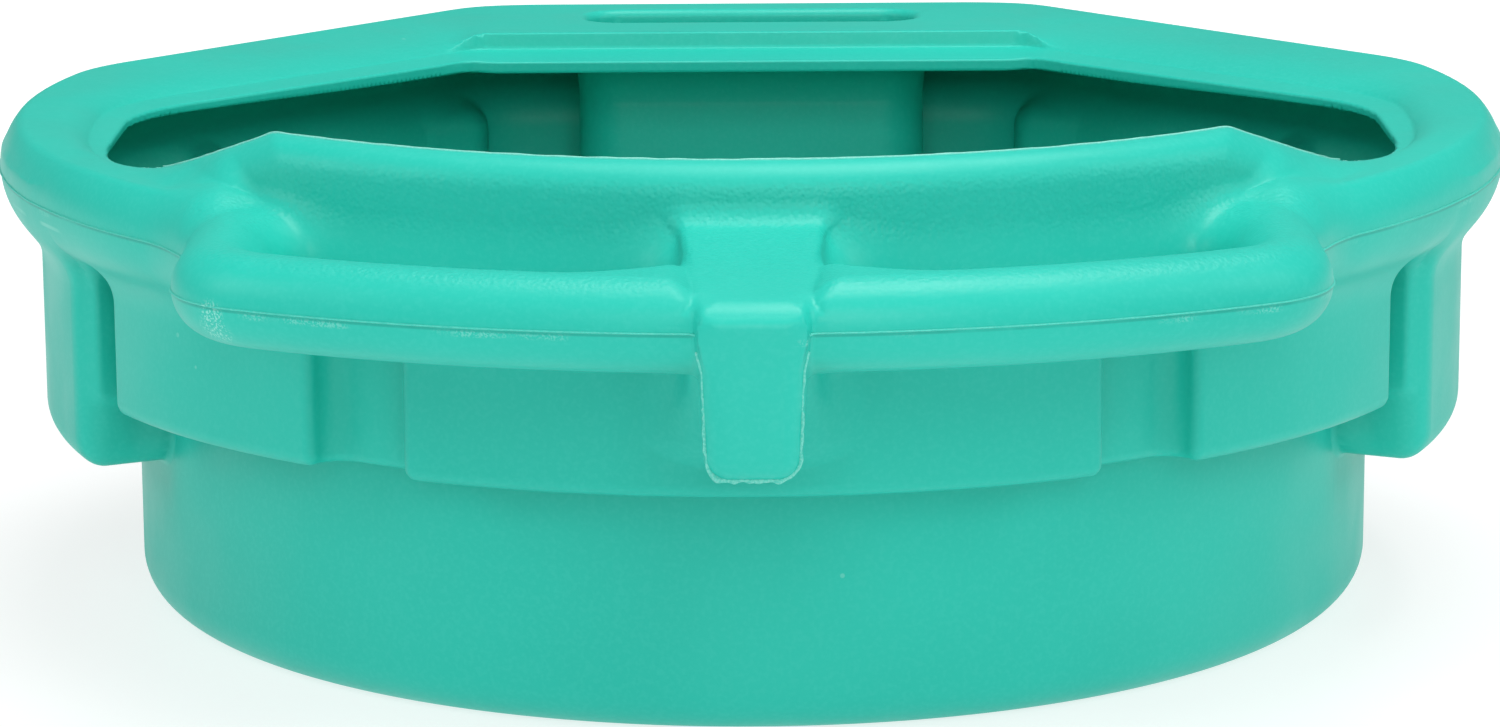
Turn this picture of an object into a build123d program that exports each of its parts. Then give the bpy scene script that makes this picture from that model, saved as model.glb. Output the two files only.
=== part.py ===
from build123d import *
from math import asin, cos, degrees, radians, sin, sqrt
import os

# Oil drain pan: one blow-moulded polyethylene body with a round tub, a wider panelled belly above
# it, a hollow rim, a raised pouring wall, a front handle and a slotted rear grip.
# Millimetres, +Z up. The origin is on the floor, on the axis of the round tub. -Y is the pouring
# side with the front handle, +Y is the rear grip. Angles are counted from +X, anticlockwise.
# The body is a hollow skin, so it is modelled as an outer form minus the same form inset by WALL,
# and then divided into its named regions, which meet face to face.

WALL = 3.2

# Round tub that stands on the floor
TUB_R = 232.5
FLOOR_FILLET = 16.0

# Belly: flat-faced panels with flutes between them, on a step around the tub
STEP_Z = 90.5
PANEL_R = 262.0
FLUTE_R = 248.0
FLUTE_HALF_WIDTH = 18.5
FLUTE_TOP_Z = 145.0
FLUTE_ARCH = 11.0
FLUTE_AT = 31.0          # degrees to each side of the front and of the rear

# Side lugs, deeper and lower than the panels, with a narrow flute at each end
LUG_R = 266.5
LUG_HALF_ANGLE = 25.6
LUG_Z = 65.0
LUG_EDGE = 8.0
LUG_ROOT_R = 240.0
LUG_ROOT_Z = 67.0
LUG_FLUTE_HALF_WIDTH = 9.5
LUG_FLUTE_ARCH = 8.0
LUG_FLUTE_AT = 62.2      # degrees to each side of the front and of the rear

# Hollow rim: half an ellipse in section, blended into the wall below it
CREST_R = 268.6
RIM_OVERHANG = CREST_R - PANEL_R
RIM_OUT = 12.0
RIM_RISE = 16.25
RIM_MID_Z = 165.5
RIM_FALL_R = 249.0       # the rim's top falls gently from its crest to this radius
RIM_FALL_Z = 177.0
DIAGONAL_FALL = 191.5    # the same fall on the two diagonals, measured from the axis

# Straight stretches of the rim, as distances of their crests from the axis
REAR_CREST = 245.0
DIAGONAL_CREST = 247.0
DIAGONALS = (41.7, 138.3)  # directions that the two diagonals face

# Rear deck, its riser, and the ledge around the mouth
RISER_Y = 159.5
LEDGE_Z = 175.6
LEDGE_OUTER_R = 250.6
LEDGE_OUTER_X = 249.0
LEDGE_CORNER = 22.0
MOUTH_R = 250.0
MOUTH_X = 232.0
MOUTH_DIAGONAL = 176.5
MOUTH_REAR = 140.0
MOUTH_FRONT_CORNER = 60.0
MOUTH_SIDE_CORNER = 45.0
MOUTH_REAR_CORNER = 18.0
MOUTH_DIAGONAL_NORMAL = 45.0

# Raised pouring wall
POUR_Z = 203.0
POUR_CURL = 12.0
POUR_FLAT_X = 162.0
POUR_FOOT_X = 216.5
POUR_HALF_ANGLE = 41.0   # the hollow rim stops here, where the handle arms leave

# Rear hand slot and the recess under it
SLOT_X = 68.0
SLOT_FRONT_Y = 191.0
SLOT_REAR_Y = 228.0
SLOT_CORNER = 15.0
RECESS_TOP_Y = 189.0
RECESS_FLOOR_Y = 181.0
RECESS_TOP_Z = 150.0

# Front handle
TUBE_R = 15.5
HANDLE_Z = 165.0
BAR_R = 332.5
ARM_X = 174.5
ARM_ROOT_Y = -150.0
BEND_R = 29.5
BEND_AT = degrees(asin((ARM_X - BEND_R) / (BAR_R - BEND_R)))  # from the front, where the bar ends
POST_WALL_WIDTH = 42.0
POST_FRONT_WIDTH = 36.0
POST_WALL_TOP_Z = 181.5
POST_FRONT_TOP_Z = 171.5
POST_BOTTOM_Z = 150.0
POST_ROOT_Y = -257.0
POST_FRONT_Y = -350.0
POST_CORNER = 7.0
CAVITY_LAP = 0.5         # how far the finger's cavity runs into the post's underside
FINGER_TOP_Z = POST_BOTTOM_Z + POST_CORNER
FINGER_TIP_WIDTH = 31.0
FINGER_TIP_DEPTH = 14.0
FINGER_ROOT_DEPTH = 34.0
FINGER_CORNER = 5.0
FINGER_Z = 119.0
GUSSET_HALF_WIDTH = 26.0
GUSSET_Z = 103.0
GUSSET_REACH_Y = -296.0

# Where the skin is divided into regions, in degrees from the front or the rear unless said
RIM_SPLIT_Z = 149.0
CHANNEL_SPLIT_X = 84.0
FLUTE_ZONE = (25.5, 36.5)
LUG_FLUTE_ZONE = (58.7, 65.7)
SHOULDER_END = 60.0
RIM_CORNERS = (19.0, 65.0)  # degrees from +X: where the diagonals meet the sides and the rear

FAR = 420.0  # beyond everything


def upright(angle):
    """Vertical plane through the axis; its x runs out at this angle and its y runs up."""
    a = radians(angle)
    return Plane(origin=(0, 0, 0), x_dir=(cos(a), sin(a), 0), z_dir=(sin(a), -cos(a), 0))


def disc(radius, low, high):
    return Pos(0, 0, low) * extrude(Circle(radius), high - low)


def block(x0, x1, y0, y1, z0, z1):
    centre = ((x0 + x1) / 2, (y0 + y1) / 2, (z0 + z1) / 2)
    return Pos(*centre) * Box(x1 - x0, y1 - y0, z1 - z0)


def slice_of(start, end, low, high):
    """Pie slice between two angles, for cutting the round body into regions."""
    middle = (start + end) / 2
    rim = [(FAR * cos(radians(a)), FAR * sin(radians(a))) for a in (start, middle, end)]
    return Pos(0, 0, low) * extrude(make_face(Polyline((0, 0), *rim, close=True)), high - low)


def rim_section(inside, crest, inset):
    """Belly and rim in section, from the line at `inside` out to a rim with this crest."""
    wall = crest - RIM_OVERHANG - inset
    bend_z = RIM_MID_Z - RIM_RISE - RIM_OVERHANG
    low = STEP_Z + inset
    top = RIM_MID_Z + RIM_RISE - inset
    outline = Polyline((inside, top), (inside, low), (wall, low), (wall, bend_z))
    outline += CenterArc((crest, bend_z), RIM_OVERHANG + inset, 90, 90)
    size = (RIM_OUT - inset, RIM_RISE - inset)
    outline += EllipticalCenterArc((crest, RIM_MID_Z), *size, start_angle=-90, arc_size=180)
    outline += Line((crest, top), (inside, top))
    return make_face(outline)


def straight_stretch(angle, crest, inset):
    """Everything on the inner side of one straight stretch of the rim."""
    return extrude(upright(angle) * rim_section(-FAR, crest, inset), FAR, both=True)


def fall_section(outer, inner, inset):
    """Top of the rim, falling from its crest to its inner foot."""
    crest_z = RIM_MID_Z + RIM_RISE - inset
    foot_z = RIM_FALL_Z - inset
    low = RIM_MID_Z
    return make_face(Polyline((outer, low), (outer, crest_z), (inner, foot_z), (inner, low), close=True))


def mouth_shape(front_r, side_x, diagonal, rear_y):
    """Outline that is round at the front and straight at the sides, the diagonals and the rear."""
    shape = Circle(front_r) & Pos(0, rear_y - FAR) * Rectangle(2 * side_x, 2 * FAR)
    for angle in (MOUTH_DIAGONAL_NORMAL, 180 - MOUTH_DIAGONAL_NORMAL):
        shape &= Rot(0, 0, angle) * Pos(diagonal - FAR, 0) * Rectangle(2 * FAR, 2 * FAR)
    return shape


def corners_between(shape, low_y, high_y):
    return [v for v in shape.vertices() if low_y < v.Y < high_y]


def ledge_shape(growth):
    """Foot of the rim's top, where the ledge around the mouth begins."""
    size = [LEDGE_OUTER_R, LEDGE_OUTER_X, DIAGONAL_FALL, RISER_Y]
    shape = mouth_shape(*[value + growth for value in size])
    return fillet(corners_between(shape, 0, FAR), LEDGE_CORNER)


def mouth():
    """Trimmed edge of the mouth."""
    shape = mouth_shape(MOUTH_R, MOUTH_X, MOUTH_DIAGONAL, MOUTH_REAR)
    shape = fillet(corners_between(shape, MOUTH_REAR - 1, FAR), MOUTH_REAR_CORNER)
    shape = fillet(corners_between(shape, 0, MOUTH_REAR - MOUTH_REAR_CORNER), MOUTH_SIDE_CORNER)
    return fillet(corners_between(shape, -FAR, -50), MOUTH_FRONT_CORNER)


def rim_and_belly(inset):
    """Belly with the hollow rim around it, its falling top, its straight stretches and its deck."""
    top = RIM_MID_Z + RIM_RISE - inset
    form = revolve(Plane.XZ * rim_section(0, CREST_R, inset), Axis.Z)
    form -= disc(CREST_R, LEDGE_Z - inset, FAR)
    form += revolve(Plane.XZ * fall_section(CREST_R, RIM_FALL_R, inset), Axis.Z)
    for angle in DIAGONALS:
        slope = extrude(upright(angle) * fall_section(DIAGONAL_CREST, DIAGONAL_FALL, inset), FAR, both=True)
        slope += extrude(upright(angle) * beyond_crest(DIAGONAL_CREST, inset), FAR, both=True)
        form += slope & disc(CREST_R, 0, FAR)
    deck = block(-FAR, FAR, RISER_Y, FAR, RIM_MID_Z, top)
    form += deck & disc(CREST_R, 0, FAR)
    form -= Pos(0, 0, LEDGE_Z - inset) * extrude(ledge_shape(inset), FAR)
    for angle in DIAGONALS:
        form &= straight_stretch(angle, DIAGONAL_CREST, inset)
    return form & straight_stretch(90, REAR_CREST, inset)


def beyond_crest(crest, inset):
    """Level top outside a straight crest, which the rim's own round then cuts."""
    low = RIM_MID_Z
    top = RIM_MID_Z + RIM_RISE - inset
    return Pos(crest + RIM_OUT, (low + top) / 2) * Rectangle(2 * RIM_OUT, top - low)


def flute(angle, half_width, floor_r, arch, bottom, inset):
    """Upright groove with an arched top, cut into the belly from outside."""
    top = FLUTE_TOP_Z + inset
    shape = Pos(0, (top + bottom) / 2) * Rectangle(2 * (half_width + inset), top - bottom)
    shape = fillet(corners_between(shape, bottom + 1, FAR), arch)
    facing_out = Plane(origin=(0, 0, 0), x_dir=(0, 1, 0), z_dir=(1, 0, 0))
    groove = extrude(facing_out * shape, FAR) - disc(floor_r - inset, 0, FAR)
    return Rot(0, 0, angle) * groove


def lug(side_angle, inset):
    """Deep block on each side, with rounded upright edges, standing on a wider root."""
    turn = degrees(inset / LUG_R)
    half = LUG_HALF_ANGLE - turn
    top = RIM_SPLIT_Z - 2 * inset
    form = disc(LUG_R - inset, LUG_Z + inset, top) & slice_of(side_angle - half, side_angle + half, 0, FAR)
    edges = [e for e in form.edges().filter_by(Axis.Z) if abs(e.center().X) > TUB_R / 2]
    form = fillet(edges, LUG_EDGE - inset)
    root_half = 90 - LUG_FLUTE_AT + degrees(LUG_FLUTE_HALF_WIDTH / LUG_R) - turn
    root = disc(LUG_ROOT_R - inset, LUG_ROOT_Z + inset, top)
    form += root & slice_of(side_angle - root_half, side_angle + root_half, 0, FAR)
    for angle in DIAGONALS:
        wall = DIAGONAL_CREST - RIM_OVERHANG - inset
        inner_side = upright(angle) * Pos(wall - FAR, 0) * Rectangle(2 * FAR, 2 * FAR)
        form &= extrude(inner_side, FAR, both=True)
    return form


def tub(inset):
    radius = TUB_R - inset
    bend = FLOOR_FILLET - inset
    top = STEP_Z + 2 * inset + 1
    outline = Polyline((radius, inset + bend), (radius, top), (0, top), (0, inset), (radius - bend, inset))
    outline += CenterArc((radius - bend, inset + bend), bend, -90, 90)
    return revolve(Plane.XZ * make_face(outline), Axis.Z)


def pouring_wall(inset):
    """Front wall carried up above the rim, curled inwards at its top, falling away at each end."""
    radius = PANEL_R - inset
    curl = POUR_CURL - inset
    top = POUR_Z - inset
    low = RIM_MID_Z - RIM_RISE
    outline = Polyline((radius - curl, top), (0, top), (0, low), (radius, low), (radius, top - curl))
    outline += CenterArc((radius - curl, top - curl), curl, 0, 90)
    form = revolve(Plane.XZ * make_face(outline), Axis.Z)
    slope = (POUR_FOOT_X - POUR_FLAT_X) / (POUR_Z - RIM_FALL_Z)
    low_x = POUR_FOOT_X + slope * (RIM_FALL_Z - low) - inset * slope
    flat_x = POUR_FLAT_X
    face = make_face(Polyline((-low_x, low), (-flat_x, top), (flat_x, top), (low_x, low), close=True))
    return form & extrude(Plane.XZ * face, FAR)


def hand_recess(growth):
    """Upright channel at the rear for the fingers, and the slot above it through the deck."""
    half = SLOT_X + growth
    front_y = (RECESS_FLOOR_Y - growth, RECESS_TOP_Y - growth)
    top = RECESS_TOP_Z - growth
    side = Polyline((FAR, -1), (front_y[0], -1), (front_y[1], top), (FAR, top), close=True)
    along_y = Plane(origin=(0, 0, 0), x_dir=(0, 1, 0), z_dir=(1, 0, 0))
    channel = extrude(along_y * make_face(side), half, both=True)
    width = SLOT_REAR_Y - SLOT_FRONT_Y + 2 * growth
    slot = RectangleRounded(2 * half, width, SLOT_CORNER + growth)
    middle = (SLOT_REAR_Y + SLOT_FRONT_Y) / 2
    return channel + Pos(0, middle, top - RIM_OUT) * extrude(slot, 5 * RIM_OUT)


def body(inset):
    """The whole body as a solid; with an inset it is the space inside the skin."""
    form = rim_and_belly(inset)
    stop = POUR_HALF_ANGLE + degrees(inset / PANEL_R)
    ring = disc(FAR, RIM_MID_Z - 2 * RIM_RISE, FAR) - disc(PANEL_R - inset, 0, FAR)
    form -= ring & slice_of(270 - stop, 270 + stop, 0, FAR)
    form += lug(0, inset)
    form += lug(180, inset)
    for middle in (90, 270):
        for side in (-1, 1):
            angle = middle + side * FLUTE_AT
            form -= flute(angle, FLUTE_HALF_WIDTH, FLUTE_R, FLUTE_ARCH, STEP_Z - WALL, inset)
            angle = middle + side * LUG_FLUTE_AT
            form -= flute(angle, LUG_FLUTE_HALF_WIDTH, LUG_ROOT_R, LUG_FLUTE_ARCH, LUG_Z - WALL, inset)
    form += tub(inset)
    form += pouring_wall(inset)
    return form - hand_recess(inset)


def handle_tube(radius):
    """Round tube of the front handle, from one arm along the bar to the other, both ends in the body."""
    bend_x = ARM_X - BEND_R
    bend_y = -sqrt((BAR_R - BEND_R) ** 2 - bend_x**2)
    path = Line((ARM_X, ARM_ROOT_Y), (ARM_X, bend_y))
    path += CenterArc((bend_x, bend_y), BEND_R, 0, BEND_AT - 90)
    path += CenterArc((0, 0), BAR_R, 270 + BEND_AT, -2 * BEND_AT)
    path += CenterArc((-bend_x, bend_y), BEND_R, 270 - BEND_AT, BEND_AT - 90)
    path += Line((-ARM_X, bend_y), (-ARM_X, ARM_ROOT_Y))
    start = Plane(origin=(ARM_X, ARM_ROOT_Y, 0), x_dir=(1, 0, 0), z_dir=(0, -1, 0))
    return Pos(0, 0, HANDLE_Z) * sweep(start * Circle(radius), path=path)


def post_form(inset, root_y):
    """Post from the pouring wall out to the bar, falling and narrowing towards the bar."""
    low = POST_BOTTOM_Z + inset
    ends = (
        (root_y, POST_WALL_WIDTH, POST_WALL_TOP_Z),
        (POST_FRONT_Y + inset, POST_FRONT_WIDTH, POST_FRONT_TOP_Z),
    )
    sections = []
    for y, width, high in ends:
        plane = Plane(origin=(0, y, (low + high - inset) / 2), x_dir=(1, 0, 0), z_dir=(0, -1, 0))
        outline = RectangleRounded(width - 2 * inset, high - inset - low, POST_CORNER - inset)
        sections.append(plane * outline)
    return loft(sections, ruled=True)


def finger_form(inset, top):
    """Finger hanging from the front of the post, narrowing to its tip."""
    corner = FINGER_CORNER - inset / 2
    tip = RectangleRounded(FINGER_TIP_WIDTH - 2 * inset, FINGER_TIP_DEPTH - 2 * inset, corner)
    tip = Pos(0, POST_FRONT_Y + FINGER_TIP_DEPTH / 2, FINGER_Z + inset) * tip
    root = RectangleRounded(POST_FRONT_WIDTH - 2 * inset, FINGER_ROOT_DEPTH - 2 * inset, corner)
    root = Pos(0, POST_FRONT_Y + FINGER_ROOT_DEPTH / 2, POST_BOTTOM_Z) * root
    return loft([tip, root], ruled=True) + extrude(root, top - POST_BOTTOM_Z)


def gusset_form(inset, root_y):
    """Sloping web under the post, from the front panel out to the post's underside."""
    slope = (POST_BOTTOM_Z - GUSSET_Z) / (POST_ROOT_Y - GUSSET_REACH_Y)
    lift = inset * sqrt(1 + slope**2)
    low = GUSSET_Z + lift + slope * (POST_ROOT_Y - root_y)
    high = POST_BOTTOM_Z - inset
    reach_y = POST_ROOT_Y - (high - lift - GUSSET_Z) / slope
    outline = Polyline((root_y, low), (root_y, high), (reach_y, high), close=True)
    along_y = Plane(origin=(0, 0, 0), x_dir=(0, 1, 0), z_dir=(1, 0, 0))
    return extrude(along_y * make_face(outline), GUSSET_HALF_WIDTH - inset, both=True)


def save(name, shape):
    export_step(shape, f"parts/{name}.step")


def region(solid, start, end, low=STEP_Z, high=FAR):
    """The part of a solid between two angles and two heights."""
    return solid & slice_of(start, end, low, high)


os.makedirs("parts", exist_ok=True)
outer = body(0)
opening = Pos(0, 0, RIM_MID_Z) * extrude(mouth(), FAR)
skin = outer - body(WALL) - opening

# Tub: its floor, the bend around the floor, its wall, and the wall of the finger channel at the rear
floor = skin & disc(TUB_R - FLOOR_FILLET, 0, WALL)
channel = (skin & block(-CHANNEL_SPLIT_X, CHANNEL_SPLIT_X, MOUTH_REAR, FAR, 0, RIM_SPLIT_Z)) - floor
tub_bend = (skin & disc(TUB_R, 0, FLOOR_FILLET)) - floor - channel
tub_wall = (skin & disc(FAR, FLOOR_FILLET, STEP_Z)) - channel
for side_angle in (0, 180):
    reach = 90 - LUG_FLUTE_ZONE[0]
    tub_wall -= slice_of(side_angle - reach, side_angle + reach, LUG_Z, STEP_Z)
save("base_floor", floor)
save("finger_channel", channel)
save("tub_bend", tub_bend)
save("tub_wall", tub_wall)

# Belly: panels, flutes and lugs, divided by upright planes
belly = (skin & disc(FAR, LUG_Z, RIM_SPLIT_Z)) - channel
save("front_panel", region(belly, 270 - FLUTE_ZONE[0], 270 + FLUTE_ZONE[0]))
save("right_lug", region(belly, LUG_FLUTE_ZONE[1] - 90, 90 - LUG_FLUTE_ZONE[1], LUG_Z))
save("left_lug", region(belly, LUG_FLUTE_ZONE[1] + 90, 270 - LUG_FLUTE_ZONE[1], LUG_Z))
save("rear_right_cheek", region(belly, 90 - FLUTE_ZONE[0], 90))
save("rear_left_cheek", region(belly, 90, 90 + FLUTE_ZONE[0]))
quarters = (("front_left", 270, -1), ("front_right", 270, 1), ("rear_left", 90, 1), ("rear_right", 90, -1))
for name, middle, turn in quarters:
    flute_angles = sorted(middle + turn * angle for angle in FLUTE_ZONE)
    panel_angles = sorted(middle + turn * angle for angle in (FLUTE_ZONE[1], LUG_FLUTE_ZONE[0]))
    lug_flute_angles = sorted(middle + turn * angle for angle in LUG_FLUTE_ZONE)
    save(f"{name}_flute", region(belly, *flute_angles))
    save(f"{name}_panel", region(belly, *panel_angles))
    save(f"{name}_lug_flute", region(belly, *lug_flute_angles, LUG_Z))

# Rim, pouring wall, rear deck and the grip behind the slot
upper = skin & disc(FAR, RIM_SPLIT_Z, FAR)
slot_middle = (SLOT_FRONT_Y + SLOT_REAR_Y) / 2
grip_zone = block(-SLOT_X, SLOT_X, slot_middle, FAR, RIM_SPLIT_Z, FAR)
save("rear_grip_bar", upper & grip_zone)
save("rear_deck", region(upper, RIM_CORNERS[1], 180 - RIM_CORNERS[1]) - grip_zone)
save("pouring_wall", region(upper, 270 - POUR_HALF_ANGLE, 270 + POUR_HALF_ANGLE))
rim_spans = {
    "pouring_shoulder": (POUR_HALF_ANGLE - 90, SHOULDER_END - 90),
    "side_rim": (SHOULDER_END - 90, RIM_CORNERS[0]),
    "rear_rim": (RIM_CORNERS[0], RIM_CORNERS[1]),
}
for name, (start, end) in rim_spans.items():
    save(f"right_{name}", region(upper, start, end))
    save(f"left_{name}", region(upper, 180 - end, 180 - start))

# Front handle: two arms, two bars, the post between the bars, its finger and its gusset
post_outer = post_form(0, POST_ROOT_Y)
post_cavity = post_form(WALL, -PANEL_R - WALL)
finger_outer = finger_form(0, FINGER_TOP_Z)
tube = handle_tube(TUBE_R) - handle_tube(TUBE_R - WALL) - outer - post_outer - finger_outer
save("handle_post", post_outer - outer - post_cavity)
save("handle_finger", finger_outer - post_outer - finger_form(WALL, POST_BOTTOM_Z + CAVITY_LAP))
gusset_cavity = gusset_form(WALL, -PANEL_R - WALL)
save("handle_gusset", gusset_form(0, POST_ROOT_Y) - outer - post_outer - gusset_cavity)
save("left_handle_bar", region(tube, 270 - BEND_AT, 270))
save("right_handle_bar", region(tube, 270, 270 + BEND_AT))
save("left_handle_arm", region(tube, 200, 270 - BEND_AT))
save("right_handle_arm", region(tube, 270 + BEND_AT, 340))
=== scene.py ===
from math import asin, cos, pi, radians, sin, sqrt

import bpy
import numpy as np
from mathutils import Matrix, Vector


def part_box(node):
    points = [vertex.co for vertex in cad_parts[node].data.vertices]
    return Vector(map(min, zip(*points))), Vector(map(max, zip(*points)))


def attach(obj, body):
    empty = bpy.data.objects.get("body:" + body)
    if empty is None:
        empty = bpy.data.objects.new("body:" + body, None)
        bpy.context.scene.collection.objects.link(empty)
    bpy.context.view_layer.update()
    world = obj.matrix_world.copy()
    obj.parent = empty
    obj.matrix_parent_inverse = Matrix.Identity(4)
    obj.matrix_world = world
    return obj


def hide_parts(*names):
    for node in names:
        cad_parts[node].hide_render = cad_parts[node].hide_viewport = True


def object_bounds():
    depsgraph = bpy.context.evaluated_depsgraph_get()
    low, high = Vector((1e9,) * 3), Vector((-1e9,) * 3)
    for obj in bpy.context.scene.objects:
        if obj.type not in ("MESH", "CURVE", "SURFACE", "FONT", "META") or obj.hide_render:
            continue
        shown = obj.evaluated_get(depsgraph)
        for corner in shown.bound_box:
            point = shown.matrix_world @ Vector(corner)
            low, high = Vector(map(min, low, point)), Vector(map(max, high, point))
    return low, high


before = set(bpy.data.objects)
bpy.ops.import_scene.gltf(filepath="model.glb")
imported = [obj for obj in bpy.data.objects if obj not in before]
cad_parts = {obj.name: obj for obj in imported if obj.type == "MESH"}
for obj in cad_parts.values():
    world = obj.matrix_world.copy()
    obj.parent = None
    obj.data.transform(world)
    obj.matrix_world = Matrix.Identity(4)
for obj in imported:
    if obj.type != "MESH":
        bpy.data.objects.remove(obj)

CAD_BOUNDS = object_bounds()
MM = 0.001

# ---------------------------------------------------------------- sizes, in millimetres
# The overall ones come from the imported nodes' boxes. The others are this script's own.


def node_box(name):
    low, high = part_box(name)
    return [value / MM for value in low], [value / MM for value in high]


def overall(*names):
    boxes = [node_box(name) for name in names]
    low = [min(box[0][i] for box in boxes) for i in range(3)]
    high = [max(box[1][i] for box in boxes) for i in range(3)]
    return low, high


TUB_HIGH = overall("tub_wall")[1]
RIM_HIGH = overall("left_side_rim", "right_side_rim")[1]
LUG_LOW, LUG_HIGH = overall("left_lug", "right_lug")
FINGER_LOW = overall("handle_finger")[0]
BAR_LOW, BAR_HIGH = overall("left_handle_bar", "right_handle_bar")
DECK_HIGH = overall("rear_deck", "rear_grip_bar")[1]

# Skin of the moulding
WALL = 3.7
REAR_LEDGE_EXTRA = 1.3

# Tub, and the belly on a step above it
TUB_R = TUB_HIGH[0]
FLOOR_FILLET = 16.0
STEP_Z = TUB_HIGH[2]

# Rim: its crest line in plan, its section, and the belly under it
RIM_OUT = 12.0
RIM_RISE = 16.25
CREST_Z = RIM_HIGH[2]
RIM_MID_Z = CREST_Z - RIM_RISE
CREST_R = RIM_HIGH[0] - RIM_OUT
OVERHANG = 6.6
PANEL_R = CREST_R - OVERHANG
REAR_CREST = DECK_HIGH[1] - RIM_OUT
DIAGONAL_CREST = REAR_CREST + 2.0
DIAGONAL_NORMAL = radians(41.7)
PARTING_Z = 165.0

# Flutes between the belly's panels, and the narrow ones beside the lugs
FLUTE_AT = radians(31.0)
FLUTE_HALF_WIDTH = 18.5
FLUTE_R = 248.0
FLUTE_ARCH = 11.0
LUG_HALF_ANGLE = radians(25.6)
LUG_FLUTE_AT = radians(62.2)
LUG_FLUTE_HALF_WIDTH = 9.5
LUG_FLUTE_R = 240.0
LUG_FLUTE_ARCH = 8.0
FLUTE_TOP_Z = 145.0
FLUTE_FLOOR_CORNER = 9.0

# Ledge around the mouth: its foot is where it meets the rim, the mouth is cut through it.
# Each outline is a front radius, a side x, the distance of its diagonals, a rear y and a corner.
FOOT_Z = 176.9
LEDGE_DROP = 0.09
MOUTH_NORMAL = radians(45.4)
LIP_EDGE_R = 250.0
FOOT_OUTLINE = (252.0, 247.0, 190.5, 157.5, 14.0)
MOUTH_OUTLINE = (LIP_EDGE_R, 235.5, 177.3, 137.0, 12.0)
RISER_RUN = 1.6
RISER_SHARE = 1.32
RISER_FALL = 0.32
MOUTH_LOW_Z = 158.0

# Pouring wall: level in the middle, then sloping down to the ledge
POUR_Z = overall("pouring_wall")[1][2]
POUR_FLAT_X = 162.0
POUR_FOOT_X = 216.5
POUR_FOOT_Z = 177.0
POUR_END = radians(41.0)

# Rear hand slot, and the finger channel below it
SLOT_HALF_WIDTH = 68.0
SLOT_CORNER = 15.0
SLOT_MID_Y = 209.5
SLOT_HALF_DEPTH = 18.5
CHANNEL_FLOOR_Y = 181.0
CHANNEL_LEAN = 10.0
CHANNEL_TOP_Z = 150.0

# Front handle: a bent tube, and a post that falls and narrows from the wall to the finger
TUBE_R = (BAR_HIGH[2] - BAR_LOW[2]) / 2
BAR_R = -BAR_LOW[1] - TUBE_R
ARM_X = 174.5
ARM_END_Y = -188.0
BEND_R = 29.5
FRONT_Y = FINGER_LOW[1] - 2.5
POST_LENGTH = 88.0
POST_TOP_Z = 184.5
POST_FALL = 10.5
POST_HALF_WIDTH = 24.5
POST_NARROWING = 7.0
POST_LOW_Z = 150.0
POST_ROOT_Y = -240.0

# Finger under the post's front, and the gusset between the post and the belly
FINGER_TIP_Z = FINGER_LOW[2] - 1.5
FINGER_TOP_Z = 169.0
FINGER_HALF_WIDTH = 15.5
FINGER_DEPTH = 16.0
GUSSET_HALF_WIDTH = 22.0
GUSSET_FOOT_Z = 109.0
GUSSET_SLOPE = 1.2
GUSSET_TOP_Z = 152.0
GUSSET_ROOT_Y = -256.0
GUSSET_FRONT_Y = -300.0

# Mesh
VOXEL = 1.6
TRIANGLES = 195000

# Colours of the plastic, and the places in metres where it is rubbed
TEAL = (0.014, 0.485, 0.385, 1)
DEEP_TEAL = (0.012, 0.455, 0.362, 1)
LIGHT_TEAL = (0.045, 0.53, 0.44, 1)
CHALK = (0.42, 0.78, 0.70, 1)
SHADED_TEAL = (0.006, 0.20, 0.16, 1)
RUBBED_SPOTS = (
    ((-0.1735, -0.2985, 0.1555), 0.0085),
    ((-0.1740, -0.3000, 0.1620), 0.0065),
)
STREAK_SPOT = (-0.262, -0.09, 0.160)

# ---------------------------------------------------------------- distance fields
# Every function takes arrays of points and gives the distance to a surface, negative inside.


def union(a, b, radius):
    """Join two forms with a fillet of this radius between them."""
    u = np.maximum(radius - a, 0)
    v = np.maximum(radius - b, 0)
    return np.maximum(radius, np.minimum(a, b)) - np.sqrt(u * u + v * v)


def common(a, b, radius):
    """What two forms share, with the edge between them rounded to this radius."""
    u = np.maximum(radius + a, 0)
    v = np.maximum(radius + b, 0)
    return np.minimum(-radius, np.maximum(a, b)) + np.sqrt(u * u + v * v)


def cut(a, b, radius):
    return common(a, -b, radius)


def ease(a, b, radius, turn):
    """What two forms share, where their sides meet at this blunt angle, in degrees."""
    reach = 2 * radius * sin(radians(turn) / 2) ** 2
    near = np.maximum(reach - np.abs(a - b), 0)
    return np.maximum(a, b) + near * near / (4 * reach)


def step(low, high, value):
    t = np.clip((value - low) / (high - low), 0, 1)
    return t * t * (3 - 2 * t)


def crest_plan(x, y, r):
    """Level distance outside the rim's crest line."""
    diagonal = x * cos(DIAGONAL_NORMAL) + y * sin(DIAGONAL_NORMAL) - DIAGONAL_CREST
    plan = ease(r - CREST_R, diagonal, 80.0, 23.0)
    return ease(plan, y - REAR_CREST, 30.0, 48.0)


def mouth_plan(x, y, r, front_r, side_x, diagonal, rear_y, corner):
    """Level distance outside a mouth-shaped outline."""
    slope = x * cos(MOUTH_NORMAL) + y * sin(MOUTH_NORMAL) - diagonal
    plan = ease(x - side_x, slope, 6 * corner, 45.0)
    plan = ease(plan, y - rear_y, corner, 45.0)
    return ease(plan, r - front_r, 16 * corner, 20.0)


def flute(x, y, z, r, angle, half_width, floor_r, arch):
    """Upright groove with an arched top."""
    across = np.abs(-x * sin(angle) + y * cos(angle)) - half_width
    outward = x * cos(angle) + y * sin(angle)
    opening = common(across, z - FLUTE_TOP_Z, arch)
    opening = np.maximum(opening, -outward)
    return common(opening, floor_r - r, FLUTE_FLOOR_CORNER)


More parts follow.
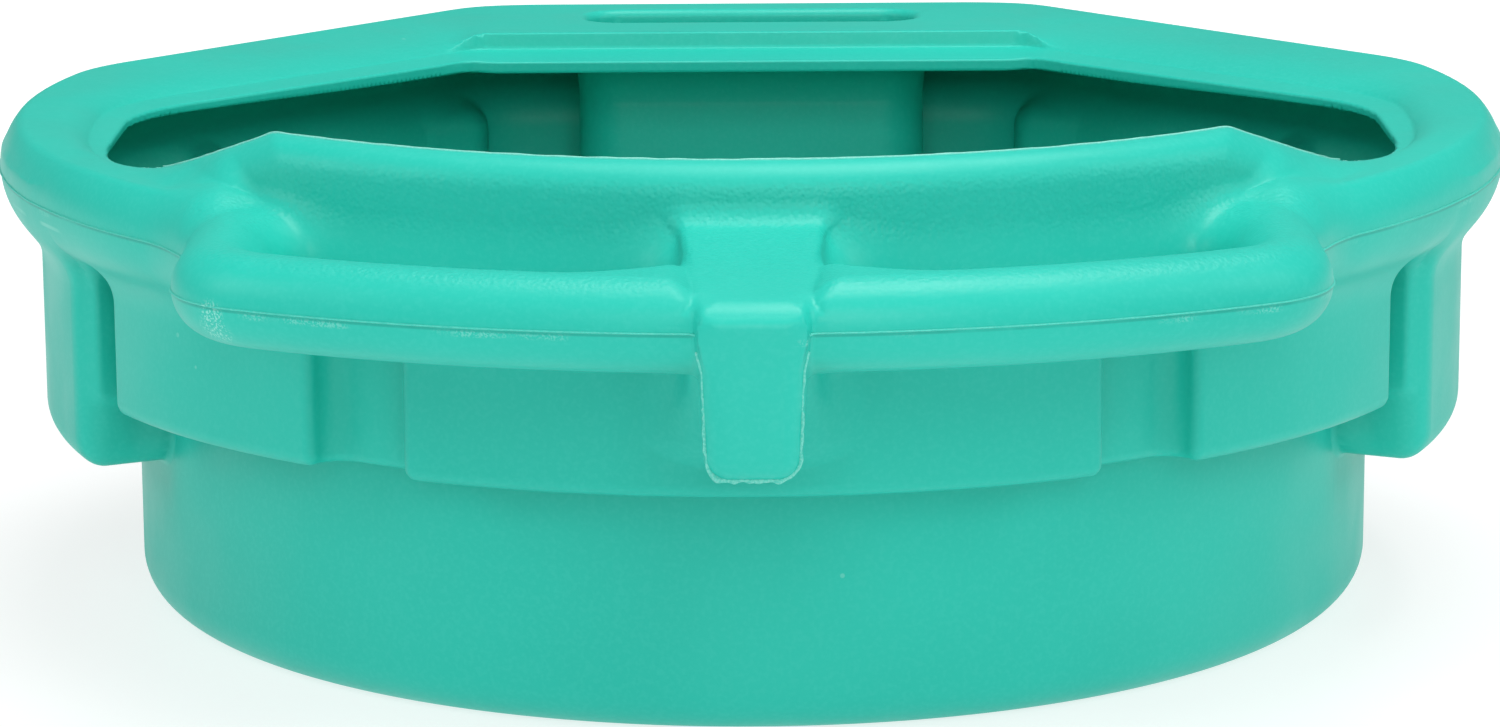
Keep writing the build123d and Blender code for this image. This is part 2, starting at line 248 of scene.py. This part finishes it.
def body_field(x, y, z):
    """The moulding without its handle, as a solid form. Expects x >= 0."""
    r = np.sqrt(x * x + y * y)
    plan = crest_plan(x, y, r)
    side = np.arctan2(y, x)
    front = np.abs(np.arctan2(x, -y))

    # Rim: half an ellipse outside its crest, a slab inside it
    across = np.maximum(plan, 0) / RIM_OUT
    upward = (z - RIM_MID_Z) / RIM_RISE
    level = np.sqrt(across * across + upward * upward) + 1e-6
    slope = np.sqrt((across / RIM_OUT) ** 2 + (upward / RIM_RISE) ** 2) / level + 1e-6
    rim = (level - 1) / slope
    rim = common(rim, (POUR_END - front) * r, 10.0)

    wall = common(plan + OVERHANG, STEP_Z - z, 5.0)
    for middle, turn in ((-pi / 2, 1), (pi / 2, -1)):
        groove = flute(x, y, z, r, middle + turn * FLUTE_AT, FLUTE_HALF_WIDTH, FLUTE_R, FLUTE_ARCH)
        wall = cut(wall, groove, 4.0)

    lug = common(r - LUG_HIGH[0], (np.abs(side) - LUG_HALF_ANGLE) * r, 11.0)
    lug = common(lug, LUG_LOW[2] - z, 12.0)
    lug = np.maximum(lug, z - RIM_MID_Z + 8.0)
    diagonal = x * cos(DIAGONAL_NORMAL) + y * sin(DIAGONAL_NORMAL) - DIAGONAL_CREST + OVERHANG
    lug = ease(lug, diagonal, 30.0, 35.0)
    for middle, turn in ((-pi / 2, 1), (pi / 2, -1)):
        angle = middle + turn * LUG_FLUTE_AT
        groove = flute(x, y, z, r, angle, LUG_FLUTE_HALF_WIDTH, LUG_FLUTE_R, LUG_FLUTE_ARCH)
        wall = cut(wall, groove, 3.2)
        lug = cut(lug, groove, 8.0)
    wall = union(wall, lug, 3.0)

    form = union(wall, rim, 18.0)

    # Top: falls from the crest to its foot, then the ledge; level on the rear deck
    foot = mouth_plan(x, y, r, *FOOT_OUTLINE)
    share = np.clip(foot / np.maximum(foot - plan, 1e-3), 0, 1)
    deck = step(128.0, 108.0, x) * step(140.0, 158.0, y)
    near = np.clip(foot / RISER_RUN, 0, 1)
    rise = 1 - (1 - share) ** 4
    rise += (near * (RISER_SHARE - RISER_FALL * share) - rise) * deck
    top = FOOT_Z + (CREST_Z - FOOT_Z) * rise
    ledge = FOOT_Z - 0.3 + LEDGE_DROP * np.clip(foot, -20, 0)
    upper = union(z - ledge, common(-foot, z - top, 1.5), 1.0)
    form = common(form, upper, 1.5)

    # Pouring wall
    fall = (POUR_Z - POUR_FOOT_Z) / (POUR_FOOT_X - POUR_FLAT_X)
    sloped = (z - POUR_FOOT_Z - (POUR_FOOT_X - x) * fall) / sqrt(1 + fall * fall)
    crown = ease(z - POUR_Z, sloped, 9.0, 26.0)
    pour = common(r - PANEL_R, crown, 11.0)
    pour = np.maximum(np.maximum(pour, y + 60.0), RIM_MID_Z - z)
    form = union(form, pour, 0.1 + 9.0 * step(160.0, 200.0, x))

    # Tub
    tub = common(r - TUB_R, -z, FLOOR_FILLET)
    tub = np.maximum(tub, z - STEP_Z - 6.0)
    form = union(form, tub, 2.5)

    # Finger channel at the rear and the slot above it
    before_floor = CHANNEL_FLOOR_Y + z * CHANNEL_LEAN / CHANNEL_TOP_Z - y
    channel = common(x - SLOT_HALF_WIDTH, before_floor, SLOT_CORNER)
    channel = common(channel, z - CHANNEL_TOP_Z, 2.0)
    form = cut(form, channel, 5.0)
    slot = common(x - SLOT_HALF_WIDTH, np.abs(y - SLOT_MID_Y) - SLOT_HALF_DEPTH, SLOT_CORNER)
    slot = np.maximum(slot, CHANNEL_TOP_Z - 20.0 - z)
    return cut(form, slot, 3.5)


def tube_plan(x, y):
    """Level distance from the centre line of the front handle."""
    r = np.sqrt(x * x + y * y)
    bend_x = ARM_X - BEND_R
    bend_y = -sqrt((BAR_R - BEND_R) ** 2 - bend_x * bend_x)
    swing = asin(bend_x / (BAR_R - BEND_R))
    bar = np.abs(r - BAR_R)
    bend = np.abs(np.hypot(x - bend_x, y - bend_y) - BEND_R)
    arm = np.hypot(x - ARM_X, np.maximum(y - ARM_END_Y, 0))
    plan = np.where(y < bend_y, bend, arm)
    return np.where(np.arctan2(x, -y) < swing, bar, plan)


def handle_field(x, y, z):
    """The front handle with its finger, and apart from it the gusset under its post."""
    along = y + PANEL_R
    top = z - (POST_TOP_Z + along * POST_FALL / POST_LENGTH)
    half = POST_HALF_WIDTH + along * POST_NARROWING / POST_LENGTH

    # In plan the bar, the post, the arms and the wall meet in wide fillets
    corner = 1.0 + 29.0 * step(-342.0, -326.0, y)
    strip = np.maximum(np.maximum(x - half, FRONT_Y - y), y - POST_ROOT_Y)
    plan = union(tube_plan(x, y) - TUBE_R, strip, corner)
    r = np.sqrt(x * x + y * y)
    wall = np.maximum(np.maximum(r - PANEL_R, PANEL_R - 14.0 - r), np.maximum(x - ARM_X - 3.0, y))
    plan = union(plan, wall, 30.0 * step(ARM_X + 4.0, ARM_X - 8.0, x) + 0.5)
    sharper = step(64.0, 34.0, x) * step(-334.0, -320.0, y) * step(-272.0, -292.0, y)
    edge = TUBE_R - 8.0 * sharper
    tube = common(plan, np.abs(z - PARTING_Z) - TUBE_R, edge)
    trough = np.maximum((x - half - 0.8 * np.maximum(top, 0)) * 0.78, -top)
    tube = cut(tube, trough, 5.0)

    post = common(x - half, top, 3.0)
    post = common(post, FRONT_Y - y, 8.0)
    post = common(post, POST_LOW_Z + 14.0 * step(-322.0, -336.0, y) - z, 4.0)
    post = np.maximum(post, y - POST_ROOT_Y)
    width = FINGER_HALF_WIDTH + (z - FINGER_LOW[2]) * 2.0 / 45.0
    back = FRONT_Y + FINGER_DEPTH + (z - FINGER_LOW[2]) * 20.0 / 31.0
    finger = common(x - width, FRONT_Y - y, 8.0)
    finger = common(finger, (y - back) * 0.84, 5.0)
    finger = common(finger, FINGER_TIP_Z - z, 8.0)
    finger = common(finger, z - FINGER_TOP_Z, 1.0)
    under = (GUSSET_FOOT_Z - z - (y + PANEL_R) * GUSSET_SLOPE) * 0.64
    gusset = common(x - GUSSET_HALF_WIDTH, under, 6.0)
    gusset = np.maximum(np.maximum(gusset, z - GUSSET_TOP_Z), y - GUSSET_ROOT_Y)
    gusset = np.maximum(gusset, GUSSET_FRONT_Y - y)
    post = union(post, finger, 3.0)
    return union(tube, post, 3.0), gusset


def pan_field(x, y, z):
    """The whole pan: its skin, its solid handle, and the mouth cut out of its top."""
    x = np.abs(x)
    body = body_field(x, y, z)
    handle, gusset = handle_field(x, y, z)
    outside = union(body, gusset, 0.5 + 17.0 * step(96.0, 112.0, z))
    outside = union(outside, handle, 8.0 + 11.0 * step(ARM_X - 8.0, ARM_X + 8.0, x))
    thickness = WALL + REAR_LEDGE_EXTRA * step(150.0, 168.0, z) * step(40.0, 110.0, y)
    form = common(outside, -(body + thickness), 0.8)
    r = np.sqrt(x * x + y * y)
    mouth = mouth_plan(x, y, r, *MOUTH_OUTLINE)
    return cut(form, np.maximum(mouth, MOUTH_LOW_Z - z), 0.9)


# ---------------------------------------------------------------- mesh from a distance field


def sample_half(field, low, counts):
    """Field values on a regular grid over the half with x >= 0, one slab of y at a time."""
    xs = np.arange(counts[0], dtype=np.float32) * VOXEL
    ys = low[1] + np.arange(counts[1], dtype=np.float32) * VOXEL
    zs = low[2] + np.arange(counts[2], dtype=np.float32) * VOXEL
    values = np.empty(counts, np.float32)
    for start in range(0, counts[1], 24):
        part = ys[start:start + 24]
        grid = np.meshgrid(xs, part, zs, indexing="ij")
        values[:, start:start + 24, :] = field(*grid)
    return values


def clear_checkers(values):
    """Fill grid corners until no grid square is inside at just two opposite corners."""
    for _ in range(4):
        for u, v in ((0, 1), (0, 2), (1, 2)):
            squares = {}
            for du in (0, 1):
                for dv in (0, 1):
                    part = [slice(None)] * 3
                    part[u] = slice(du, values.shape[u] - 1 + du)
                    part[v] = slice(dv, values.shape[v] - 1 + dv)
                    squares[du, dv] = values[tuple(part)]
            a, b = squares[0, 0] < 0, squares[1, 0] < 0
            odd = (a != b) & (a == (squares[1, 1] < 0)) & (b == (squares[0, 1] < 0))
            for one, other in (((0, 0), (1, 1)), ((1, 0), (0, 1))):
                outside = odd & (squares[one] >= 0)
                near = squares[one] < squares[other]
                squares[one][outside & near] = -0.01
                squares[other][outside & ~near] = -0.01


def surface_net(values, low):
    """One vertex in every grid cell that the surface crosses, and one quad per crossed grid edge.

    Also gives the vertices on the side with x > 0, and the mirror twin of each.
    """
    inside = values < 0
    cells = tuple(n - 1 for n in values.shape)
    total = np.zeros(cells + (3,), np.float32)
    hits = np.zeros(cells, np.uint8)
    quads = []
    number = np.full(cells, -1, np.int32)
    crossings = []
    for axis in range(3):
        near = [slice(None)] * 3
        far = [slice(None)] * 3
        near[axis] = slice(None, -1)
        far[axis] = slice(1, None)
        a, b = inside[tuple(near)], inside[tuple(far)]
        where = np.argwhere(a != b)
        va = values[tuple(near)][tuple(where.T)]
        vb = values[tuple(far)][tuple(where.T)]
        point = where.astype(np.float32)
        point[:, axis] += va / (va - vb)
        crossings.append((axis, where, a[tuple(where.T)]))
        others = [i for i in range(3) if i != axis]
        for du in (0, 1):
            for dv in (0, 1):
                cell = where.copy()
                cell[:, others[0]] -= du
                cell[:, others[1]] -= dv
                keep = np.all((cell >= 0) & (cell < np.array(cells)), axis=1)
                np.add.at(total, tuple(cell[keep].T), point[keep])
                np.add.at(hits, tuple(cell[keep].T), 1)
    used = np.argwhere(hits > 0)
    number[tuple(used.T)] = np.arange(len(used))
    points = total[tuple(used.T)] / hits[tuple(used.T)][:, None]
    for axis, where, outward in crossings:
        u, v = [i for i in range(3) if i != axis]
        corners = []
        for du, dv in ((1, 1), (0, 1), (0, 0), (1, 0)):
            cell = where.copy()
            cell[:, u] -= du
            cell[:, v] -= dv
            corners.append(number[tuple(cell.T)])
        quad = np.stack(corners, axis=1)
        flip = outward if axis != 1 else ~outward
        quad[~flip] = quad[~flip][:, ::-1]
        quads.append(quad)
    points = (points * VOXEL + low).astype(np.float32)
    right = np.flatnonzero(used[:, 0] >= cells[0] // 2)
    left = number[::-1][tuple(used[right].T)]
    return points, np.concatenate(quads), (right, left)


def unit(vectors):
    return vectors / np.maximum(np.linalg.norm(vectors, axis=1), 1e-6)[:, None]


def gradient(field, points, reach=0.3):
    slopes = []
    for axis in range(3):
        ahead = points.copy()
        behind = points.copy()
        ahead[:, axis] += reach
        behind[:, axis] -= reach
        slopes.append(field(*ahead.T) - field(*behind.T))
    return np.stack(slopes, axis=1) / (2 * reach)


def settle(field, points, passes):
    """Move points onto the surface along its slope."""
    for _ in range(passes):
        slope = gradient(field, points)
        square = np.maximum((slope * slope).sum(axis=1), 0.1)
        push = np.clip(field(*points.T) / square, -VOXEL, VOXEL)
        points = points - slope * push[:, None]
    return points


def settle_sides(field, points, sides):
    """Settle the right side and copy it to the left."""
    right, left = sides
    points[right] = settle(field, points[right], 1)
    points[left] = points[right] * (-1, 1, 1)


def relax(field, points, quads, sides, passes):
    """Even out the quads by sliding every point towards the middle of its neighbours."""
    ends = np.concatenate([quads[:, [i, (i + 1) % 4]] for i in range(4)])
    ends = np.concatenate([ends, ends[:, ::-1]])
    count = np.bincount(ends[:, 0], minlength=len(points))[:, None]
    for _ in range(passes):
        total = [np.bincount(ends[:, 0], points[ends[:, 1], axis], len(points)) for axis in range(3)]
        middle = np.stack(total, axis=1) / count
        points += (0.6 * (middle - points)).astype(np.float32)
        settle_sides(field, points, sides)


def thin_out(points, quads, triangles):
    """The same surface in about this many triangles, more of them where it bends."""
    mesh = mesh_of("dense", points, quads)
    dense = bpy.data.objects.new("dense", mesh)
    bpy.context.scene.collection.objects.link(dense)
    collapse = dense.modifiers.new("collapse", "DECIMATE")
    collapse.ratio = triangles / (2 * len(quads))
    result = dense.evaluated_get(bpy.context.evaluated_depsgraph_get()).to_mesh()
    result.calc_loop_triangles()
    corners = np.empty(len(result.loop_triangles) * 3, np.int32)
    result.loop_triangles.foreach_get("vertices", corners)
    places = np.empty(len(result.vertices) * 3, np.float32)
    result.vertices.foreach_get("co", places)
    bpy.data.objects.remove(dense)
    bpy.data.meshes.remove(mesh)
    return places.reshape(-1, 3) / MM, corners.reshape(-1, 3)


def mesh_of(name, points, faces):
    mesh = bpy.data.meshes.new(name)
    mesh.vertices.add(len(points))
    mesh.vertices.foreach_set("co", (np.asarray(points, np.float32) * MM).ravel())
    faces = np.asarray(faces, np.int32)
    size = faces.shape[1]
    mesh.loops.add(faces.size)
    mesh.loops.foreach_set("vertex_index", faces.ravel())
    mesh.polygons.add(len(faces))
    mesh.polygons.foreach_set("loop_start", np.arange(0, faces.size, size, dtype=np.int32))
    mesh.update(calc_edges=True)
    mesh.validate()
    mesh.shade_smooth()
    return mesh


def new_piece(name, points, faces, material, normals=None):
    mesh = mesh_of(name, points, faces)
    if normals is not None:
        mesh.normals_split_custom_set_from_vertices(normals.tolist())
    mesh.materials.append(material)
    piece = bpy.data.objects.new(name, mesh)
    bpy.context.scene.collection.objects.link(piece)
    return piece


def moulding(name, material):
    """The whole pan as one closed skin, with its shading taken from the distance field."""
    # The grid goes this far past the CAD's box, which the skin leaves by less than 4 mm
    margin = 4.55 * VOXEL
    box_low = [value / MM for value in CAD_BOUNDS[0]]
    box_high = [value / MM for value in CAD_BOUNDS[1]]
    low = [0.0, box_low[1] - margin, box_low[2] - margin]
    counts = [int((box_high[0] + margin) / VOXEL) + 1]
    counts += [int((box_high[i] + margin - low[i]) / VOXEL) + 1 for i in (1, 2)]
    half = sample_half(pan_field, low, tuple(counts))
    clear_checkers(half)
    whole = np.concatenate([half[:0:-1], half], axis=0)
    corner = np.array((-(counts[0] - 1) * VOXEL, low[1], low[2]))
    points, quads, sides = surface_net(whole, corner)
    settle_sides(pan_field, points, sides)
    relax(pan_field, points, quads, sides, 2)
    points, faces = thin_out(points, quads, TRIANGLES)
    points = settle(pan_field, points, 2)
    return new_piece(name, points, faces, material, unit(gradient(pan_field, points)))


# ---------------------------------------------------------------- moulding flash


def waver(count, length, low, high, seed):
    """Smooth random heights between two values, repeating over this many places."""
    noise = np.random.RandomState(seed).rand(count)
    window = np.hanning(length + 2)[1:-1]
    smooth = np.convolve(np.concatenate([noise, noise[:length - 1]]), window / window.sum(), "valid")
    share = (smooth - smooth.min()) / (smooth.max() - smooth.min())
    return low + (high - low) * share[:count]


def crossing(field, start, heading, reach, grain=0.5):
    """Where rays from these points first change sides of the surface."""
    steps = np.arange(0, reach, grain)
    places = start[:, None, :] + heading[:, None, :] * steps[None, :, None]
    inside = field(*places.reshape(-1, 3).T).reshape(len(start), -1) < 0
    first = np.argmax(inside != inside[:, :1], axis=1)
    near, far = steps[first - 1], steps[first]
    begun = inside[:, 0]
    for _ in range(10):
        middle = (near + far) / 2
        same = (field(*(start + heading * middle[:, None]).T) < 0) == begun
        near, far = np.where(same, middle, near), np.where(same, far, middle)
    return start + heading * near[:, None]


def ridge(name, path, heights, half_width, material):
    """Thin ridge of squeezed-out plastic that stands on the surface along a path.

    The section gives each corner's place across the ridge, how far it lies above the skin (below
    it when negative), and its share of the ridge's height.
    """
    outward = unit(gradient(pan_field, path))
    ahead = np.gradient(path, axis=0)
    sideways = unit(np.cross(unit(ahead), outward))
    section = (
        (-1.0, -0.6, 0.0),
        (-0.55, 0.0, 0.5),
        (-0.15, 0.0, 1.0),
        (0.15, 0.0, 1.0),
        (0.55, 0.0, 0.5),
        (1.0, -0.6, 0.0),
    )
    rings = [
        path + sideways * half_width * across + outward * (sunk + rise * heights)[:, None]
        for across, sunk, rise in section
    ]
    size = len(section)
    points = np.stack(rings, axis=1).reshape(-1, 3)
    count = len(path)
    faces = []
    for i in range(count - 1):
        here, there = i * size, (i + 1) * size
        for j in range(size):
            k = (j + 1) % size
            faces.append((here + j, here + k, there + k, there + j))
    last = (count - 1) * size
    for a, b, c, d in ((0, 1, 4, 5), (1, 2, 3, 4)):
        faces.append((d, c, b, a))
        faces.append((last + a, last + b, last + c, last + d))
    return new_piece(name, points, faces, material)


def parting_ridge(name, material):
    """Flash along the line where the mould's halves meet, around the rim and the handle."""
    count = 1600
    angles = np.arange(count) * 2 * pi / count + pi / 2
    heading = np.stack([np.cos(angles), np.sin(angles), np.zeros(count)], axis=1)
    start = heading * 362.0 + np.array((0, 0, PARTING_Z))
    path = crossing(pan_field, start, -heading, 180.0)
    keep = np.abs(path[:, 0]) > 17.5
    keep |= path[:, 1] > 0
    path = np.roll(path, -count // 2, axis=0)[np.roll(keep, -count // 2)]
    heights = waver(len(path), 9, 0.3, 0.7, 3)
    return ridge(name, path, heights, 0.5, material)


def finger_ridge(name, material):
    """Rough flash down both sides of the finger and around its trimmed tip."""
    count = 150
    angles = np.linspace(-radians(137), radians(137), count)
    heading = np.stack([np.sin(angles), np.zeros(count), -np.cos(angles)], axis=1)
    start = np.tile(np.array((0.0, FRONT_Y + 4.0, FINGER_LOW[2] + 22.0)), (count, 1))
    path = crossing(pan_field, start, heading, 60.0)
    tip = np.cos(angles / 2) ** 8
    heights = waver(count, 5, 0.05, 1.0, 5) + tip * waver(count, 4, 0.0, 1.4, 6)
    return ridge(name, path, heights, 0.5, material)


def lip_burr(name, material):
    """Thin burr that the trimming knife left along the top edge of the pouring lip."""
    angles = np.linspace(-radians(55), radians(55), 420)
    heading = np.stack([np.sin(angles), -np.cos(angles), np.zeros(len(angles))], axis=1)
    start = heading * (LIP_EDGE_R + 1.0) + np.array((0, 0, CREST_Z + 40.0))
    path = crossing(pan_field, start, np.tile(np.array((0, 0, -1.0)), (len(angles), 1)), 90.0)
    return ridge(name, path, waver(len(path), 7, 0.3, 0.6, 8), 0.45, material)


# ---------------------------------------------------------------- material, stage and camera


class Graph:
    """Short names for the shader nodes that the plastic is made of."""

    def __init__(self, tree):
        self.tree = tree

    def node(self, kind, **settings):
        made = self.tree.nodes.new(kind)
        for name, value in settings.items():
            setattr(made, name, value)
        return made

    def feed(self, socket, value):
        if isinstance(value, bpy.types.NodeSocket):
            self.tree.links.new(value, socket)
        else:
            socket.default_value = value

    def math(self, operation, a, b=0.0):
        made = self.node("ShaderNodeMath", operation=operation)
        self.feed(made.inputs[0], a)
        self.feed(made.inputs[1], b)
        return made.outputs[0]

    def noise(self, place, scale, detail=2.0):
        made = self.node("ShaderNodeTexNoise")
        self.feed(made.inputs["Vector"], place)
        made.inputs["Scale"].default_value = scale
        made.inputs["Detail"].default_value = detail
        return made.outputs["Fac"]

    def cells(self, place, scale, feature="F1"):
        made = self.node("ShaderNodeTexVoronoi", feature=feature)
        self.feed(made.inputs["Vector"], place)
        made.inputs["Scale"].default_value = scale
        return made.outputs["Distance"]

    def ramp(self, value, low, high, start=0.0, end=1.0):
        """A smooth change from start to end as the value goes from low to high."""
        made = self.node("ShaderNodeMapRange", interpolation_type="SMOOTHSTEP")
        for socket, number in zip(made.inputs, (value, low, high, start, end)):
            self.feed(socket, number)
        return made.outputs[0]

    def product(self, first, *others):
        for other in others:
            first = self.math("MULTIPLY", first, other)
        return first

    def most(self, first, *others):
        for other in others:
            first = self.math("MAXIMUM", first, other)
        return first

    def blend(self, share, a, b):
        made = self.node("ShaderNodeMix", data_type="RGBA")
        self.feed(made.inputs["Factor"], share)
        self.feed(made.inputs["A"], a)
        self.feed(made.inputs["B"], b)
        return made.outputs["Result"]

    def length(self, vector):
        made = self.node("ShaderNodeVectorMath", operation="LENGTH")
        self.feed(made.inputs[0], vector)
        return made.outputs["Value"]

    def near(self, place, spot, radius):
        """One at a spot, falling to nothing at this distance from it."""
        made = self.node("ShaderNodeVectorMath", operation="DISTANCE")
        self.feed(made.inputs[0], place)
        made.inputs[1].default_value = spot
        return self.ramp(made.outputs["Value"], radius * 0.45, radius, 1.0, 0.0)


def polyethylene(name, chalk):
    """Moulded teal plastic: mottled, finely grained, leathery on the pouring wall, and worn.

    Chalk is how white the plastic is from being squeezed out of the mould and rubbed.
    """
    material = bpy.data.materials.new(name)
    material.use_nodes = True
    graph = Graph(material.node_tree)
    shader = material.node_tree.nodes["Principled BSDF"]
    shader.inputs["Specular IOR Level"].default_value = 0.28
    place = graph.node("ShaderNodeTexCoord").outputs["Object"]
    split = graph.node("ShaderNodeSeparateXYZ")
    graph.feed(split.inputs[0], place)
    y, z = split.outputs["Y"], split.outputs["Z"]

    # Wear: rubbed patches, broken white lines beside the parting line, and small specks
    parting = PARTING_Z * MM
    grit = graph.noise(place, 1300.0)
    patches = graph.noise(place, 38.0)
    rubbed = graph.most(*(graph.near(place, spot, reach) for spot, reach in RUBBED_SPOTS))
    rubbed = graph.product(rubbed, graph.ramp(grit, 0.5, 0.62))
    below = graph.math("ABSOLUTE", graph.math("SUBTRACT", z, parting - 0.0018))
    broken = graph.product(graph.ramp(below, 0.0005, 0.0016, 1.0, 0.0), graph.ramp(patches, 0.52, 0.64))
    broken = graph.product(broken, graph.ramp(grit, 0.45, 0.58), graph.ramp(y, -0.05, 0.05, 1.0, 0.0))
    second = graph.math("ABSOLUTE", graph.math("SUBTRACT", z, parting - 0.0065))
    streak = graph.product(graph.ramp(second, 0.0004, 0.0011, 1.0, 0.0), graph.ramp(patches, 0.5, 0.6))
    streak = graph.product(streak, graph.near(place, STREAK_SPOT, 0.07), 0.7)
    specks = graph.ramp(graph.cells(place, 55.0), 0.035, 0.055, 0.55, 0.0)
    specks = graph.product(specks, graph.ramp(graph.noise(place, 11.0), 0.6, 0.66))
    wear = graph.most(rubbed, graph.product(broken, 0.45), streak, specks)

    mottle = graph.ramp(graph.noise(place, 7.0), 0.3, 0.7)
    colour = graph.blend(mottle, DEEP_TEAL, TEAL)
    flecks = graph.ramp(graph.noise(place, 520.0, 1.0), 0.4, 0.75, 0.0, 0.22)
    colour = graph.blend(flecks, colour, LIGHT_TEAL)
    colour = graph.blend(graph.product(wear, 0.5), colour, CHALK)

    # The trimmed edge of the pouring lip is paler, partly with a painted highlight, and a thin line of
    # painted shade lies under the parting line
    plan = graph.node("ShaderNodeVectorMath", operation="MULTIPLY")
    graph.feed(plan.inputs[0], place)
    plan.inputs[1].default_value = (1, 1, 0)
    radius = graph.length(plan.outputs[0])
    from_edge = graph.math("ABSOLUTE", graph.math("SUBTRACT", radius, LIP_EDGE_R * MM))
    # Painted highlight: a pale band along the lip's trimmed edge, on top of the trimmed plastic's own
    # paler colour
    edge = graph.product(graph.ramp(from_edge, 0.0006, 0.0018, 0.5, 0.0), graph.ramp(z, 0.1765, 0.178))
    colour = graph.blend(graph.product(edge, graph.ramp(y, -0.10, -0.09, 1.0, 0.0)), colour, CHALK)
    # Painted shade: a thin dark line just under the parting ridge, standing in for its shadow, kept off
    # the post and the inside
    under = graph.math("ABSOLUTE", graph.math("SUBTRACT", z, parting - 0.0008))
    uneven = graph.ramp(patches, 0.3, 0.5, 0.4, 1.0)
    painted_parting_shade = graph.product(graph.ramp(under, 0.0002, 0.0006, 0.4, 0.0), uneven)
    off_post = graph.math("ABSOLUTE", split.outputs["X"])
    painted_parting_shade = graph.product(painted_parting_shade, graph.most(graph.ramp(off_post, 0.018, 0.020), graph.ramp(y, -0.2, -0.1)))
    painted_parting_shade = graph.product(painted_parting_shade, graph.ramp(radius, 0.245, 0.25))
    colour = graph.blend(painted_parting_shade, colour, SHADED_TEAL)
    if chalk:
        colour = graph.blend(graph.ramp(grit, 0.35, 0.65, chalk * 0.4, chalk), colour, CHALK)
    graph.feed(shader.inputs["Base Color"], colour)

    gloss = graph.ramp(graph.noise(place, 25.0), 0.3, 0.7, 0.40, 0.50)
    graph.feed(shader.inputs["Roughness"], graph.math("ADD", gloss, graph.product(wear, 0.2)))

    # Grain: a fine orange peel all over, and leather grain on the face of the pouring wall
    face = graph.product(graph.ramp(z, 0.174, 0.181), graph.ramp(z, 0.194, 0.200, 1.0, 0.0))
    face = graph.product(face, graph.ramp(y, -0.215, -0.195, 1.0, 0.0))
    leather = graph.product(graph.cells(place, 680.0, "SMOOTH_F1"), face, 2.8)
    peel = graph.product(graph.noise(place, 1100.0, 1.0), 0.35)
    height = graph.math("ADD", leather, peel)
    bump = graph.node("ShaderNodeBump")
    bump.inputs["Strength"].default_value = 0.6
    bump.inputs["Distance"].default_value = 0.00016
    graph.feed(bump.inputs["Height"], height)
    graph.feed(shader.inputs["Normal"], bump.outputs["Normal"])
    return material


def stage():
    """A plain pale floor, a white world and the standard view transform."""
    bpy.ops.mesh.primitive_plane_add(size=12.0, location=(0, 0, 0))
    floor = bpy.context.object
    floor.name = "studio_floor"
    material = bpy.data.materials.new("studio_white")
    material.use_nodes = True
    graph = Graph(material.node_tree)
    surface = material.node_tree.nodes["Principled BSDF"]
    surface.inputs["Base Color"].default_value = (0.3, 0.3, 0.3, 1)
    surface.inputs["Emission Color"].default_value = (1, 1, 1, 1)
    from_pan = graph.length(graph.node("ShaderNodeTexCoord").outputs["Object"])
    graph.feed(surface.inputs["Emission Strength"], graph.ramp(from_pan, 0.25, 1.6, 0.72, 1.0))
    floor.data.materials.append(material)
    world = bpy.context.scene.world or bpy.data.worlds.new("studio")
    bpy.context.scene.world = world
    world.use_nodes = True
    background = world.node_tree.nodes["Background"]
    background.inputs["Color"].default_value = (1, 1, 1, 1)
    background.inputs["Strength"].default_value = 0.25
    bpy.context.scene.view_settings.view_transform = "Standard"


def area_lamp(name, place, target, size, power):
    lamp = bpy.data.lights.new(name, "AREA")
    lamp.size = size
    lamp.energy = power
    lamp_object = bpy.data.objects.new(name, lamp)
    lamp_object.location = place
    aim = Vector(target) - Vector(place)
    lamp_object.rotation_euler = aim.to_track_quat("-Z", "Y").to_euler()
    lamp_object.visible_camera = False
    bpy.context.scene.collection.objects.link(lamp_object)


def camera():
    """The photograph's own viewpoint, fitted to the pan's outlines in it."""
    lens = bpy.data.cameras.new("camera")
    lens.lens = 122.7
    lens.sensor_width = 36.0
    lens.shift_x = -0.0018
    view = bpy.data.objects.new("camera", lens)
    view.matrix_world = (
        Matrix.Translation((0, -1.905, 0.497))
        @ Matrix.Rotation(radians(90 - 12.36), 4, "X")
        @ Matrix.Rotation(radians(-0.331), 4, "Z")
    )
    bpy.context.scene.collection.objects.link(view)
    bpy.context.scene.camera = view


plastic = polyethylene("teal_polyethylene", 0.0)
squeezed = polyethylene("squeezed_out_polyethylene", 0.15)
rubbed = polyethylene("rubbed_flash_polyethylene", 0.36)
pan = moulding("pan_moulding", plastic)
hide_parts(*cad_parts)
pieces = [
    pan,
    parting_ridge("parting_line_flash", squeezed),
    finger_ridge("finger_flash", rubbed),
    lip_burr("lip_trim_burr", rubbed),
]
for piece in pieces:
    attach(piece, "root")
stage()
area_lamp("front_softbox", (0.1, -1.9, 0.95), (0, -0.2, 0.15), 1.0, 14)
area_lamp("top_softbox", (0.25, 0.0, 2.3), (0, 0, 0), 1.4, 43)
area_lamp("left_softbox", (-1.4, -0.6, 1.0), (0, 0, 0.1), 0.9, 7)
area_lamp("right_softbox", (1.4, -0.6, 1.0), (0, 0, 0.1), 0.9, 7)
camera()
